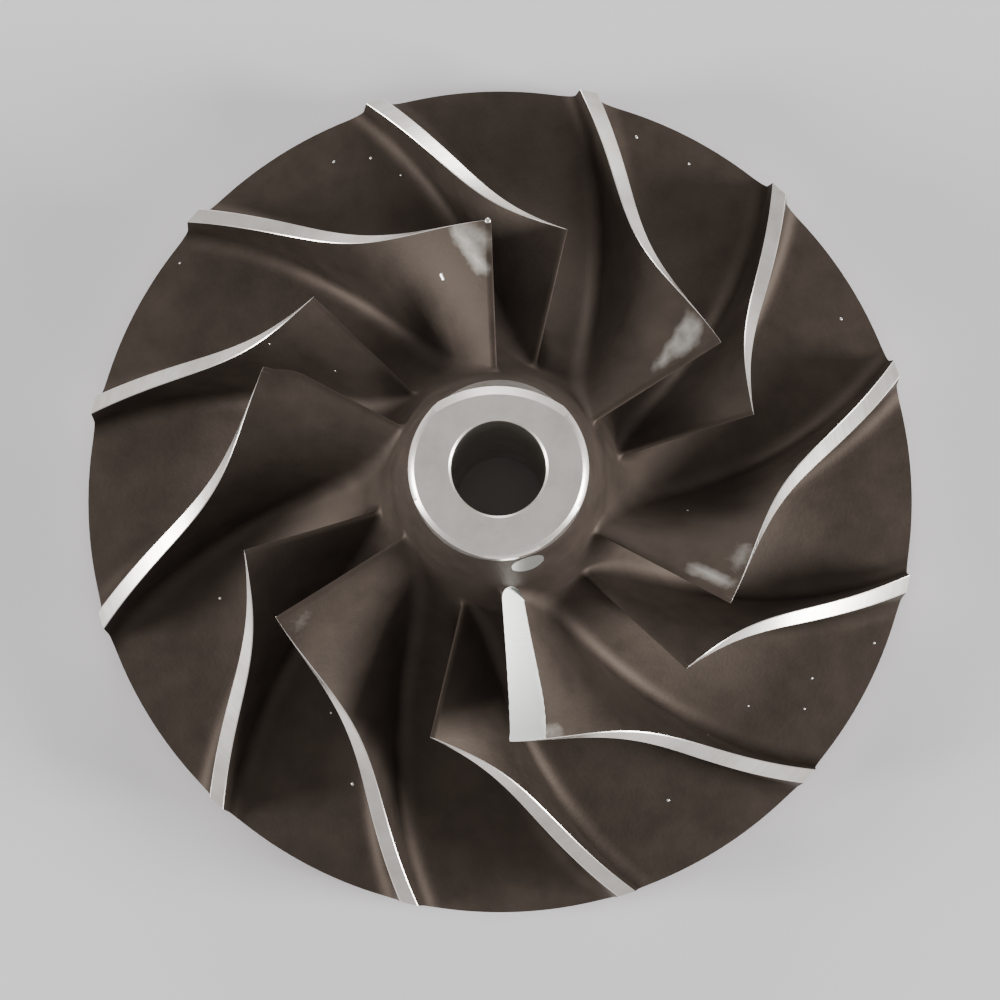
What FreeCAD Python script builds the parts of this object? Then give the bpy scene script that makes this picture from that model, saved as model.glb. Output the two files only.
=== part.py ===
"""Compressor wheel of a small turbocharger: one aluminium casting with turned faces.

Millimetres and degrees. The bore's axis is Z, the back boss stands on Z = 0 and the nose points up.
Full blades and splitters share one blade surface, ruled between the hub contour and the shroud
contour. A splitter is the same blade with its leading part left out. The back is flat.
"""
import FreeCAD, Part
import math
import os

Vector = FreeCAD.Vector
ORIGIN = Vector(0, 0, 0)
UP = Vector(0, 0, 1)

# ---- Driving dimensions: the wheel's body ----
exducer_radius = 30.0        # disc rim and the blades' trailing edges
inducer_radius = 18.0        # outer end of the full blades' leading edges
hub_radius = 7.4             # hub at the full blades' leading edges
inlet_height = 18.0          # boss face to the full blades' leading edges
nose_height = 26.8           # boss face to nose face
nose_radius = 6.2            # the nose's short cylinder
nose_length = 2.2            # its height, chamfer and all
nose_chamfer = 0.4
disc_height = 1.8            # boss face to the front of the disc at its rim
disc_slope = 6.0             # the disc's front near its rim, from flat
boss_radius = 7.5            # flat face that seats on the shaft's collar
boss_height = 0.9            # from the back of the disc
boss_chamfer = 0.5           # in the corner between the boss and the back
bore_radius = 3.175
bore_chamfer = 0.15

# ---- Driving dimensions: the blades ----
full_blades = 6              # and as many splitters between them
outlet_width = 3.8           # blade height at the rim
shroud_reach = 22.0          # radial half axis of the shroud contour's ellipse
wrap_angle = 45.4            # trailing edge to full leading edge, along hub and shroud alike
shroud_sweep = 24.3          # the part of the wrap that grows evenly along the shroud
hub_sweep = 36.4             # the same along the hub
shroud_hook_power = 5        # the rest of the wrap gathers near the inlet
hub_hook_power = 12
splitter_share = 0.878       # share of the full blade's length that a splitter keeps
tip_outlet_thickness = 1.15
tip_inlet_thickness = 0.40
root_outlet_thickness = 1.80
root_inlet_thickness = 1.00
root_flare = 1.2             # height and reach of the cast fillet at a blade's foot
root_depth = 0.4             # how far a blade's foot runs into the hub
first_blade_angle = 77.6     # trailing edge of the first full blade, from +X

# ---- Driving dimensions: what balancing took away ----
# Each cut round the nose: the angle of its middle, half its spread, its depth.
nose_cuts = ((88.0, 44.0, 0.65), (-43.5, 22.5, 0.16), (-129.0, 36.0, 0.22))
nose_cut_lip = 0.6           # slanted edge between the nose face and the cut's wall
nose_cut_slope = 15.0        # the cut's wall, from the wheel's axis
ground_blade = 2             # the full blade whose leading edge is ground flat
ground_depth = 0.9
ground_spread = 14.0         # half the angle that the grinding swept
ground_clearance = 0.7       # from the hub to the inner end of the flat
spot_angle = -72.0           # a small ground spot on the neck below the nose
spot_height = 22.7           # middle of the spot, on the side of the neck
spot_depth = 0.08
spot_length = 3.4            # along the side of the neck

# ---- Modelling values ----
overrun = 1.0                # how far cutters and untrimmed blades pass the finished faces
hub_facets = 8               # short cones that make up the hub's arc
blade_stations = 10          # along each blade
side_strips = 3              # up each side of a blade, above its foot
difference_step = 0.002      # share of the blade's length, for its direction
thinning_power = 4           # how late the blade thins towards its leading edge


def in_section(radius, height):
    """Point of the wheel's half section, which lies in the XZ plane."""
    return Vector(radius, 0, height)


def polar(radius, angle, height):
    """Point at an angle about the wheel's axis."""
    turn = math.radians(angle)
    return Vector(radius * math.cos(turn), radius * math.sin(turn), height)


def line(*points):
    """Straight edges from point to point."""
    return [Part.makeLine(start, end) for start, end in zip(points, points[1:])]


def turned(edges):
    """Solid of revolution of a closed outline in the XZ plane, about the wheel's axis."""
    solid = Part.Face(Part.Wire(edges)).revolve(ORIGIN, UP, 360)
    if solid.Volume < 0:
        solid.reverse()
    return solid


class Contour:
    """A contour of the half section, walked by its length from the rim to the inlet."""

    def __init__(self, past_rim, edges):
        """Take an edge that comes in from outside the rim, and the edges from there to the inlet."""
        self.edges = edges
        self.length = sum(edge.Length for edge in edges)
        self.lead_in = past_rim.Length
        self.walked = [past_rim] + edges

    def point(self, share):
        """Point at a share of the length, 0 at the rim and 1 at the inlet."""
        distance = self.lead_in + share * self.length
        for edge in self.walked[:-1]:
            if distance < edge.Length:
                return edge.valueAt(edge.getParameterByLength(distance))
            distance -= edge.Length
        last = self.walked[-1]
        return last.valueAt(last.getParameterByLength(min(distance, last.Length)))


def neck_direction():
    """Direction in which the neck's straight side widens from the nose towards the disc."""
    top = in_section(nose_radius, nose_height - nose_length)
    return (in_section(hub_radius, inlet_height) - top).normalize()


def hub_contour():
    """Hub: straight up the disc's front, then an arc in short cones that ends in the neck's side."""
    slope = math.radians(disc_slope)
    rim = in_section(exducer_radius, disc_height)
    inlet = in_section(hub_radius, inlet_height)
    inward = in_section(-math.cos(slope), math.sin(slope))
    down = neck_direction()
    # Where the two straight sides would meet, and the arc that is tangent to both.
    gap = rim - inlet
    reach = (gap.x * inward.z - gap.z * inward.x) / (down.x * inward.z - down.z * inward.x)
    corner = inlet + down * reach
    join = corner - inward * reach
    half_angle = down.getAngle(inward) / 2
    bisector = (inlet - corner + join - corner).normalize()
    radius = reach * math.tan(half_angle)
    middle = corner + bisector * (reach / math.cos(half_angle) - radius)
    arc = Part.Arc(join, middle, inlet)
    return Contour(Part.makeLine(rim - inward * overrun, rim),
                   line(rim, *arc.discretize(hub_facets + 1)))


def shroud_contour():
    """Shroud: part of an ellipse whose end lies on the full blades' leading edges."""
    centre = in_section(inducer_radius + shroud_reach, inlet_height)
    rim_angle = math.acos((centre.x - exducer_radius) / shroud_reach)
    rise = (inlet_height - disc_height - outlet_width) / math.sin(rim_angle)
    ellipse = Part.Ellipse(in_section(inducer_radius, inlet_height),
                           centre + in_section(0, rise), centre)
    outer_angle = math.acos((centre.x - exducer_radius - overrun) / shroud_reach)
    return Contour(ellipse.toShape(-outer_angle, -rim_angle), [ellipse.toShape(-rim_angle, 0)])


hub = hub_contour()
shroud = shroud_contour()


def body():
    """Hub, disc, nose and back boss in one turned solid, with the bore through it."""
    mouth = bore_radius + bore_chamfer
    neck_top = nose_height - nose_length
    front = line(in_section(hub_radius, inlet_height),
                 in_section(nose_radius, neck_top),
                 in_section(nose_radius, nose_height - nose_chamfer),
                 in_section(nose_radius - nose_chamfer, nose_height),
                 in_section(mouth, nose_height),
                 in_section(bore_radius, nose_height - bore_chamfer),
                 in_section(bore_radius, bore_chamfer),
                 in_section(mouth, 0),
                 in_section(boss_radius, 0),
                 in_section(boss_radius, boss_height - boss_chamfer),
                 in_section(boss_radius + boss_chamfer, boss_height),
                 in_section(exducer_radius, boss_height),
                 in_section(exducer_radius, disc_height))
    return turned(hub.edges + front)


def under_shroud():
    """Everything that the turned shroud contour leaves of the blades."""
    top = inlet_height + overrun
    rim_top = disc_height + outlet_width
    sides = line(in_section(inducer_radius, inlet_height), in_section(inducer_radius, top),
                 in_section(0, top), in_section(0, 0), in_section(exducer_radius, 0),
                 in_section(exducer_radius, rim_top))
    return turned(shroud.edges + sides)


def wrap(share, sweep, hook_power):
    """Angle that the blade has wrapped at a share of its length."""
    return sweep * share + (wrap_angle - sweep) * max(share, 0) ** hook_power


def ruling(share):
    """Foot and tip of the blade's middle surface at a share of its length."""
    foot = hub.point(share)
    tip = shroud.point(share)
    foot_angle = first_blade_angle - wrap(share, hub_sweep, hub_hook_power)
    tip_angle = first_blade_angle - wrap(share, shroud_sweep, shroud_hook_power)
    return polar(foot.x, foot_angle, foot.z), polar(tip.x, tip_angle, tip.z)


def thinned(outlet, inlet, share):
    """Thickness at a share of one blade's own length."""
    return inlet + (outlet - inlet) * (1 - max(share, 0) ** thinning_power)


def blade_section(share, kept):
    """Corners of a flat section square to the blade, round from one foot over the tip to the other.

    kept is the share of the full length at which this blade's leading edge lies.
    """
    foot, tip = ruling(share)
    ahead = ruling(share + difference_step)
    behind = ruling(share - difference_step)
    upward = tip - foot
    height = upward.Length
    upward.normalize()
    along = ahead[0] + ahead[1] - behind[0] - behind[1]
    across = along.cross(upward).normalize()
    tip_thickness = thinned(tip_outlet_thickness, tip_inlet_thickness, share / kept)
    root_thickness = thinned(root_outlet_thickness, root_inlet_thickness, share / kept)
    step = (height + overrun - root_flare) / side_strips
    levels = [-root_depth] + [root_flare + step * strip for strip in range(side_strips + 1)]
    left = []
    right = []
    for level in levels:
        thickness = root_thickness + (tip_thickness - root_thickness) * level / height
        flare = max(root_flare - level, 0)
        half = across * (thickness / 2 + flare)
        left.append(foot + upward * level + half)
        right.append(foot + upward * level - half)
    return left + right[::-1]


def blade(kept, envelope):
    """One blade from past the rim to its leading edge, its tip turned to the shroud contour."""
    shares = [-overrun / 2 / shroud.length]
    for station in range(blade_stations):
        left_over = 1 - station / (blade_stations - 1)
        shares.append(kept * (1 - left_over ** 1.5))
    sections = [blade_section(share, kept) for share in shares]
    rails = []
    for corners in zip(*sections):
        curve = Part.BSplineCurve()
        curve.interpolate(Points=list(corners), Parameters=shares)
        rails.append(curve.toShape())
    faces = [Part.makeRuledSurface(rail, rails[number - 1]) for number, rail in enumerate(rails)]
    for ends in (sections[0], sections[-1]):
        faces.append(Part.Face(Part.makePolygon(ends + ends[:1])))
    shell = Part.makeShell(faces)
    shell.sewShape()
    solid = Part.makeSolid(shell)
    if solid.Volume < 0:
        solid.reverse()
    return solid.common(envelope)


def all_blades():
    """Full blades and splitters in turn round the hub, clockwise from the first full blade."""
    envelope = under_shroud()
    pitch = 180 / full_blades
    blades = []
    for offset, kept in ((0, 1), (1, splitter_share)):
        pattern = blade(kept, envelope)
        for number in range(full_blades):
            copy = pattern.copy()
            copy.rotate(ORIGIN, UP, -pitch * (2 * number + offset))
            blades.append(copy)
    return blades


def nose_cutter(middle, half_spread, depth):
    """Ring that trims the nose about an axis set off to the far side of the cut."""
    waist = nose_radius - depth
    closing = 2 * (waist - nose_radius * math.cos(math.radians(half_spread)))
    offset = (nose_radius ** 2 - waist ** 2) / closing
    wall = waist + offset
    reach = nose_length + nose_chamfer + overrun
    foot = wall + (reach - nose_cut_lip) * math.tan(math.radians(nose_cut_slope))
    outside = foot + nose_radius
    axis = polar(-offset, middle, 0)
    profile = line(in_section(wall - nose_cut_lip - overrun, nose_height + overrun),
                   in_section(wall, nose_height - nose_cut_lip),
                   in_section(foot, nose_height - reach),
                   in_section(outside, nose_height - reach),
                   in_section(outside, nose_height + overrun),
                   in_section(wall - nose_cut_lip - overrun, nose_height + overrun))
    ring = turned(profile)
    ring.translate(axis)
    return ring


def grinding_cutter():
    """What grinding took off one full blade's leading edge: all that stands above a flat."""
    flat = inlet_height - ground_depth
    edge_angle = first_blade_angle - wrap_angle - ground_blade * 360 / full_blades
    inner = hub_radius + ground_clearance
    block = turned(line(in_section(inner, flat),
                        in_section(inducer_radius + overrun, flat),
                        in_section(inducer_radius + overrun, inlet_height + overrun),
                        in_section(inner, inlet_height + overrun),
                        in_section(inner, flat)))
    swept = Part.makeCylinder(inducer_radius + 2 * overrun, nose_height, ORIGIN, UP,
                              2 * ground_spread)
    swept.rotate(ORIGIN, UP, edge_angle - ground_spread / 2)
    return block.common(swept)


def spot_cutter():
    """Shallow block along the neck's side, whose inner face is the flat of the ground spot."""
    drop = nose_height - nose_length - spot_height
    neck_slope = (hub_radius - nose_radius) / (nose_height - nose_length - inlet_height)
    block = Part.makeBox(overrun, nose_radius, spot_length,
                         Vector(-spot_depth, -nose_radius / 2, -spot_length / 2))
    block.rotate(ORIGIN, Vector(0, 1, 0), -math.degrees(math.atan(neck_slope)))
    block.translate(Vector(nose_radius + drop * neck_slope, 0, spot_height))
    block.rotate(ORIGIN, UP, spot_angle)
    return block


def compressor_wheel():
    """The finished wheel as one solid."""
    wheel = body().multiFuse(all_blades())
    cutters = [nose_cutter(*cut) for cut in nose_cuts]
    cutters.append(grinding_cutter())
    cutters.append(spot_cutter())
    return wheel.cut(cutters)


os.makedirs("parts", exist_ok=True)
compressor_wheel().exportStep("parts/compressor_wheel.step")
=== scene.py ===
"""Studio scene of a compressor wheel: one aluminium casting with turned blade tips, nose and back.

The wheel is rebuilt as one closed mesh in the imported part's frame. Hub and blades follow the same
contours and the same blade law as the part, with the cast fillets, rounded leading edges, balancing
cuts and small damage that the part leaves out. Sizes are millimetres and degrees until a mesh is made.
"""

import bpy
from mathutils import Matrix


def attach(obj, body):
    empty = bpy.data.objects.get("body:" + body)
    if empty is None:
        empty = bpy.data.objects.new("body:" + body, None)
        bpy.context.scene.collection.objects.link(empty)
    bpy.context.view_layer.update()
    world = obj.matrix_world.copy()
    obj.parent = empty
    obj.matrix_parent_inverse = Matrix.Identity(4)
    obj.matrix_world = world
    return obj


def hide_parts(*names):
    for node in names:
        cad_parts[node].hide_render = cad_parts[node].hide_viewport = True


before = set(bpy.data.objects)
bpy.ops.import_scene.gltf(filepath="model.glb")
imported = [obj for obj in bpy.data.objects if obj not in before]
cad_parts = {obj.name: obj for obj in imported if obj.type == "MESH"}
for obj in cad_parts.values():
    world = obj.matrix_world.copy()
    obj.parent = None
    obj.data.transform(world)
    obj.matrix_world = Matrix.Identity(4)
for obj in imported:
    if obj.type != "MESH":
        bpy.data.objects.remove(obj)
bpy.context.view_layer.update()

import logging
import math
from collections.abc import Iterable, Iterator
from contextlib import contextmanager
from dataclasses import dataclass, field
from enum import Enum, auto
from itertools import accumulate
from typing import Any

import bmesh
import bpy
import numpy as np
from mathutils import Matrix, Vector
from mathutils.bvhtree import BVHTree
from mathutils.geometry import delaunay_2d_cdt

MM = 0.001  # metres
NODE = "compressor_wheel"
BODY = "root"
TURNED_MARK = "turned"
RUB_MARK = "rubbed"
WELD = 1e-6  # metres

Triple = tuple[float, float, float]
Pair = tuple[float, float]
Feeds = dict[str | int, Any]

logging.basicConfig(level=logging.INFO, format="%(message)s")
LOG = logging.getLogger("wheel")


class Skin(Enum):
    """How a face was finished."""

    CAST = auto()
    TURNED = auto()


# ---- The wheel's contours and the law that its blades follow ----


class Contour:
    """A curve of the wheel's half section, walked by its length from the rim to the inlet."""

    def __init__(self, points: np.ndarray, inlet: int) -> None:
        """Measure the curve.

        Args:
            points: radius and height of closely spaced points, from the rim inwards.
            inlet: index of the point at the full blades' leading edges.
        """
        steps = np.linalg.norm(np.diff(points, axis=0), axis=1)
        travelled = np.concatenate([[0.0], np.cumsum(steps)])
        self.points = points
        self.length = float(travelled[inlet])
        self.shares = travelled / self.length

    def at(self, shares: np.ndarray) -> tuple[np.ndarray, np.ndarray]:
        """Radius and height at shares of the length, 0 at the rim and 1 at the inlet."""
        radii = np.interp(shares, self.shares, self.points[:, 0])
        heights = np.interp(shares, self.shares, self.points[:, 1])
        return radii, heights

    def share_of_radius(self, radii: np.ndarray) -> np.ndarray:
        """Share at which the curve has each radius."""
        return np.interp(radii, self.points[::-1, 0], self.shares[::-1])


@dataclass(frozen=True)
class WheelSection:
    """Half section of the wheel, in millimetres above the back boss face."""

    exducer_radius: float = 30.0
    inducer_radius: float = 18.0
    hub_radius: float = 7.4
    inlet_height: float = 18.0
    nose_height: float = 26.8
    nose_radius: float = 6.03
    nose_length: float = 2.2
    nose_chamfer: float = 0.4
    disc_height: float = 1.8
    disc_slope: float = 6.0
    outlet_width: float = 3.8
    shroud_reach: float = 22.0
    boss_radius: float = 7.5
    boss_height: float = 0.9
    boss_chamfer: float = 0.5
    bore_radius: float = 3.175
    bore_chamfer: float = 0.15
    samples: int = 900

    def hub(self) -> Contour:
        """Hub contour: the disc's front, one tangent arc, and the neck's straight side."""
        slope = math.radians(self.disc_slope)
        rim = np.array([self.exducer_radius, self.disc_height])
        inlet = np.array([self.hub_radius, self.inlet_height])
        neck_top = np.array([self.nose_radius, self.nose_height - self.nose_length])
        inward = np.array([-math.cos(slope), math.sin(slope)])
        down = (inlet - neck_top) / np.linalg.norm(inlet - neck_top)
        gap = rim - inlet
        reach = (gap[0] * inward[1] - gap[1] * inward[0]) / (down[0] * inward[1] - down[1] * inward[0])
        corner = inlet + down * reach
        join = corner - inward * reach
        half_angle = math.acos(float(down @ inward)) / 2
        bisector = (inlet - corner) + (join - corner)
        bisector /= np.linalg.norm(bisector)
        radius = reach * math.tan(half_angle)
        centre = corner + bisector * (reach / math.cos(half_angle))
        first = math.atan2(*(join - centre)[::-1]) % (2 * math.pi)
        last = math.atan2(*(inlet - centre)[::-1]) % (2 * math.pi)
        turn = np.linspace(first, last, self.samples)
        arc = centre + radius * np.stack([np.cos(turn), np.sin(turn)], axis=1)
        straight = rim + (join - rim) * np.linspace(0, 1, self.samples)[:-1, None]
        neck = inlet + (neck_top - inlet) * np.linspace(0, 1, self.samples)[1:, None]
        return Contour(np.concatenate([straight, arc, neck]), len(straight) + len(arc) - 1)

    def shroud(self) -> Contour:
        """Shroud contour: part of an ellipse that ends upright at the leading edges."""
        centre = self.inducer_radius + self.shroud_reach
        rim_angle = math.acos((centre - self.exducer_radius) / self.shroud_reach)
        rise = (self.inlet_height - self.disc_height - self.outlet_width) / math.sin(rim_angle)
        turn = np.linspace(rim_angle, 0, 2 * self.samples)
        points = np.stack([centre - self.shroud_reach * np.cos(turn),
                           self.inlet_height - rise * np.sin(turn)], axis=1)
        return Contour(points, len(points) - 1)


@dataclass(frozen=True)
class BladeLaw:
    """How far the blades wrap round the hub, and how thick they are."""

    full_blades: int = 6
    first_angle: float = 77.6
    wrap_angle: float = 45.4
    shroud_sweep: float = 24.3  # part of the wrap that grows evenly
    hub_sweep: float = 36.4
    shroud_hook_power: float = 5
    hub_hook_power: float = 12
    splitter_share: float = 0.878  # of a full blade's length
    tip_outlet_thickness: float = 1.06
    tip_inlet_thickness: float = 0.18
    root_outlet_thickness: float = 1.80
    root_inlet_thickness: float = 0.36
    tip_thinning_power: float = 4
    root_thinning_power: float = 12
    fillet: float = 1.2
    fillet_fade: float = 0.6
    fillet_fade_power: float = 10

    def leading_angle(self, number: int) -> float:
        """Angle in degrees of a full blade's leading edge, the blades being counted clockwise."""
        return self.first_angle - self.wrap_angle - number * 360 / self.full_blades

    def wrap(self, shares: np.ndarray, sweep: float, power: float) -> np.ndarray:
        """Angle wrapped at shares of the length, carried straight on past the inlet.

        Args:
            shares: shares of the contour's length.
            sweep: part of the wrap that grows evenly.
            power: how late the rest of it gathers.

        Returns:
            The wrapped angles in degrees.
        """
        inside = np.clip(shares, 0, 1)
        hook = self.wrap_angle - sweep
        past = np.maximum(shares - 1, 0)
        return sweep * inside + hook * inside ** power + past * (sweep + hook * power)

    def thickness(self, shares: np.ndarray, rise: np.ndarray) -> np.ndarray:
        """Thickness of a blade.

        Args:
            shares: shares of this blade's own length, 1 at its leading edge.
            rise: 0 at the hub and 1 at the tip.

        Returns:
            The thicknesses in millimetres.
        """
        inside = np.clip(shares, 0, 1)
        tip_drop = self.tip_outlet_thickness - self.tip_inlet_thickness
        root_drop = self.root_outlet_thickness - self.root_inlet_thickness
        tip = self.tip_outlet_thickness - tip_drop * inside ** self.tip_thinning_power
        root = self.root_outlet_thickness - root_drop * inside ** self.root_thinning_power
        return root + (tip - root) * rise

    def fillet_share(self, shares: np.ndarray) -> np.ndarray:
        """Share of the root fillet's full size, which fades towards a blade's leading edge."""
        return 1 - self.fillet_fade * np.clip(shares, 0, 1) ** self.fillet_fade_power


# ---- Small mesh helpers ----


def polar(radii: np.ndarray, degrees: np.ndarray, heights: np.ndarray) -> np.ndarray:
    """Points from radius, angle in degrees and height, as rows of x, y, z."""
    turn = np.radians(degrees)
    return np.stack(np.broadcast_arrays(radii * np.cos(turn), radii * np.sin(turn), heights), axis=-1)


def turned_about_axis(points: np.ndarray, degrees: np.ndarray) -> np.ndarray:
    """Points turned about the wheel's axis, each by its own angle."""
    turn = np.radians(degrees)
    cos, sin = np.cos(turn), np.sin(turn)
    x, y, z = points[..., 0], points[..., 1], points[..., 2]
    return np.stack([x * cos - y * sin, x * sin + y * cos, z], axis=-1)


def gap_to_line(points: np.ndarray, start: np.ndarray, end: np.ndarray,
                least: float = 1e-12) -> np.ndarray:
    """How far points lie from a straight line.

    Args:
        points: the points, in two or three coordinates.
        start: one end of the line.
        end: the other end.
        least: square of the length below which the line counts as a point.

    Returns:
        The distances, in the points' own unit.
    """
    along = end - start
    share = np.clip((points - start) @ along / max(along @ along, least), 0, 1)
    return np.linalg.norm(points - start - share[:, None] * along, axis=1)


def put_in_scene(name: str, data: bpy.types.ID) -> bpy.types.Object:
    """Make an object of a mesh, light or camera and link it to the scene."""
    thing = bpy.data.objects.new(name, data)
    bpy.context.scene.collection.objects.link(thing)
    return thing


@contextmanager
def opened(mesh: bpy.types.Mesh, save: bool = False) -> Iterator[bmesh.types.BMesh]:
    """Open a mesh as an editable one, and write it back afterwards if it is to be saved."""
    work = bmesh.new()
    work.from_mesh(mesh)
    yield work
    if save:
        work.to_mesh(mesh)
    work.free()


def surface_of(mesh: bpy.types.Mesh) -> BVHTree:
    """Search tree of a mesh's faces."""
    with opened(mesh) as work:
        return BVHTree.FromBMesh(work)


@dataclass
class MeshDraft:
    """Vertices and faces gathered before a Blender mesh is made from them."""

    corners: list[Triple] = field(default_factory=list)
    faces: list[tuple[int, ...]] = field(default_factory=list)
    skins: list[Skin] = field(default_factory=list)

    def add_points(self, points: np.ndarray) -> list[int]:
        """Add points, in millimetres, and return their numbers."""
        start = len(self.corners)
        self.corners.extend(tuple(point) for point in np.asarray(points, float).reshape(-1, 3))
        return list(range(start, len(self.corners)))

    def add_face(self, corners: Iterable[int], skin: Skin) -> None:
        """Add one face by the numbers of its points."""
        self.faces.append(tuple(corners))
        self.skins.append(skin)

    def add_grid(self, rows: list[list[int]], skin: Skin, closed: bool = False) -> None:
        """Join rows of points by four-sided faces.

        Args:
            rows: numbers of the points, row by row, all rows of one length.
            skin: finish of the new faces.
            closed: whether each row runs on from its last point to its first.
        """
        for lower, upper in zip(rows, rows[1:]):
            for here in range(len(lower) if closed else len(lower) - 1):
                after = (here + 1) % len(lower)
                self.add_face((lower[here], lower[after], upper[after], upper[here]), skin)

    def to_object(self, name: str) -> bpy.types.Object:
        """Make an object in metres, welded, with its faces turned outwards."""
        mesh = bpy.data.meshes.new(name)
        places = [tuple(value * MM for value in corner) for corner in self.corners]
        mesh.from_pydata(places, [], self.faces)
        mark = mesh.attributes.new(TURNED_MARK, "BOOLEAN", "FACE")
        mark.data.foreach_set("value", [skin is Skin.TURNED for skin in self.skins])
        with opened(mesh, save=True) as work:
            bmesh.ops.remove_doubles(work, verts=work.verts, dist=WELD)
            bmesh.ops.dissolve_degenerate(work, edges=work.edges, dist=WELD / 10)
            bmesh.ops.recalc_face_normals(work, faces=work.faces)
        return put_in_scene(name, mesh)


def lathe(draft: MeshDraft, profile: list[Pair], segments: int, skins: list[Skin],
          closed: bool = False, offset: Pair = (0.0, 0.0)) -> None:
    """Turn a profile about an upright axis.

    Args:
        draft: the mesh that gets the faces.
        profile: radius and height of each ring.
        segments: flats round a ring.
        skins: finish of the faces after each ring.
        closed: whether the last ring joins the first.
        offset: where the axis stands in the wheel's plan.
    """
    angles = np.arange(segments) * 360 / segments
    shift = np.array([*offset, 0.0])
    rings = [draft.add_points(polar(radius, angles, height) + shift) for radius, height in profile]
    for lower, upper, skin in zip(rings, rings[1:] + (rings[:1] if closed else []), skins):
        draft.add_grid([lower, upper], skin, closed=True)


def bake_modifiers(thing: bpy.types.Object) -> None:
    """Turn an object's evaluated shape into its plain mesh and remove its modifiers."""
    bpy.context.view_layer.update()
    evaluated = thing.evaluated_get(bpy.context.evaluated_depsgraph_get())
    thing.data = bpy.data.meshes.new_from_object(evaluated)
    thing.modifiers.clear()


# ---- Node trees ----


class NodeSheet:
    """A node tree in the making, in which one call adds a node and feeds its inputs."""

    def __init__(self, tree: bpy.types.NodeTree) -> None:
        """Work on a tree."""
        self.tree = tree

    @classmethod
    def group(cls, kind: str, name: str, inputs: dict[str, str],
              outputs: dict[str, str]) -> tuple["NodeSheet", Any, bpy.types.Node]:
        """Start a group with named sockets.

        Args:
            kind: "Geometry" or "Shader".
            name: the group's name.
            inputs: each input's name and type.
            outputs: each output's name and type.

        Returns:
            The sheet, the sockets that the group is given, and the node that takes its results.
        """
        sheet = cls(bpy.data.node_groups.new(name, f"{kind}NodeTree"))
        for way, sockets in (("INPUT", inputs), ("OUTPUT", outputs)):
            for socket, carried in sockets.items():
                sheet.tree.interface.new_socket(socket, in_out=way, socket_type=f"NodeSocket{carried}")
        return sheet, sheet.add("NodeGroupInput").outputs, sheet.add("NodeGroupOutput")

    def feed(self, node: bpy.types.Node, feeds: Feeds) -> None:
        """Feed inputs of a node.

        Args:
            node: the node.
            feeds: for an input's name or number a socket, a node whose first output it takes, or
                a plain value.
        """
        for key, value in feeds.items():
            if isinstance(value, bpy.types.Node):
                value = value.outputs[0]
            if isinstance(value, bpy.types.NodeSocket):
                self.tree.links.new(value, node.inputs[key])
            else:
                node.inputs[key].default_value = value

    def add(self, kind: str, feeds: Feeds | None = None, **settings: Any) -> bpy.types.Node:
        """Add a node with its own settings, feed its inputs and return it."""
        node = self.tree.nodes.new(kind)
        for name, value in settings.items():
            setattr(node, name, value)
        self.feed(node, feeds or {})
        return node

    def math(self, operation: str, *values: Any) -> bpy.types.Node:
        """Add a Math node that is fed in order."""
        return self.add("ShaderNodeMath", dict(enumerate(values)), operation=operation)

    def attribute(self, name: str, kind: str) -> bpy.types.NodeSocket:
        """Socket with the values of a named attribute."""
        node = self.add("GeometryNodeInputNamedAttribute", data_type=kind)
        self.feed(node, {"Name": name})
        return node.outputs["Attribute"]

    def tint(self, mask: Any, ends: Pair, colours: tuple[Triple, Triple]) -> bpy.types.Node:
        """Add a colour that runs from the first to the second as a mask passes its ends."""
        node = self.add("ShaderNodeValToRGB", {0: mask})
        for stop, position, colour in zip(node.color_ramp.elements, ends, colours):
            stop.position = position
            stop.color = srgb(colour)
        return node

    def stretch(self, mask: Any, side: str, ends: Pair) -> bpy.types.Node:
        """Add a node that carries a mask from a range ("From") or to one ("To")."""
        return self.add("ShaderNodeMapRange", {"Value": mask, f"{side} Min": ends[0],
                                               f"{side} Max": ends[1]})

    def relief(self, height: Any, bump: Pair) -> bpy.types.Node:
        """Add the normal of a fine relief from its strength and its depth in metres."""
        return self.add("ShaderNodeBump", {"Height": height, "Strength": bump[0],
                                           "Distance": bump[1]})

    def object_mesh(self, thing: bpy.types.NodeSocket) -> bpy.types.NodeSocket:
        """Socket with the mesh of an object."""
        return self.add("GeometryNodeObjectInfo", {"Object": thing}).outputs["Geometry"]


def run_tree(thing: bpy.types.Object, tree: bpy.types.NodeTree, values: dict[str, Any]) -> None:
    """Run a Geometry Nodes tree on an object and keep what it makes as the object's plain mesh.

    Args:
        thing: the object.
        tree: the tree.
        values: what the tree's named inputs get.
    """
    modifier = thing.modifiers.new(tree.name, "NODES")
    modifier.node_group = tree
    for socket in tree.interface.items_tree:
        if socket.name in values:
            modifier[socket.identifier] = values[socket.name]
    bake_modifiers(thing)


# ---- Blades ----


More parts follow.
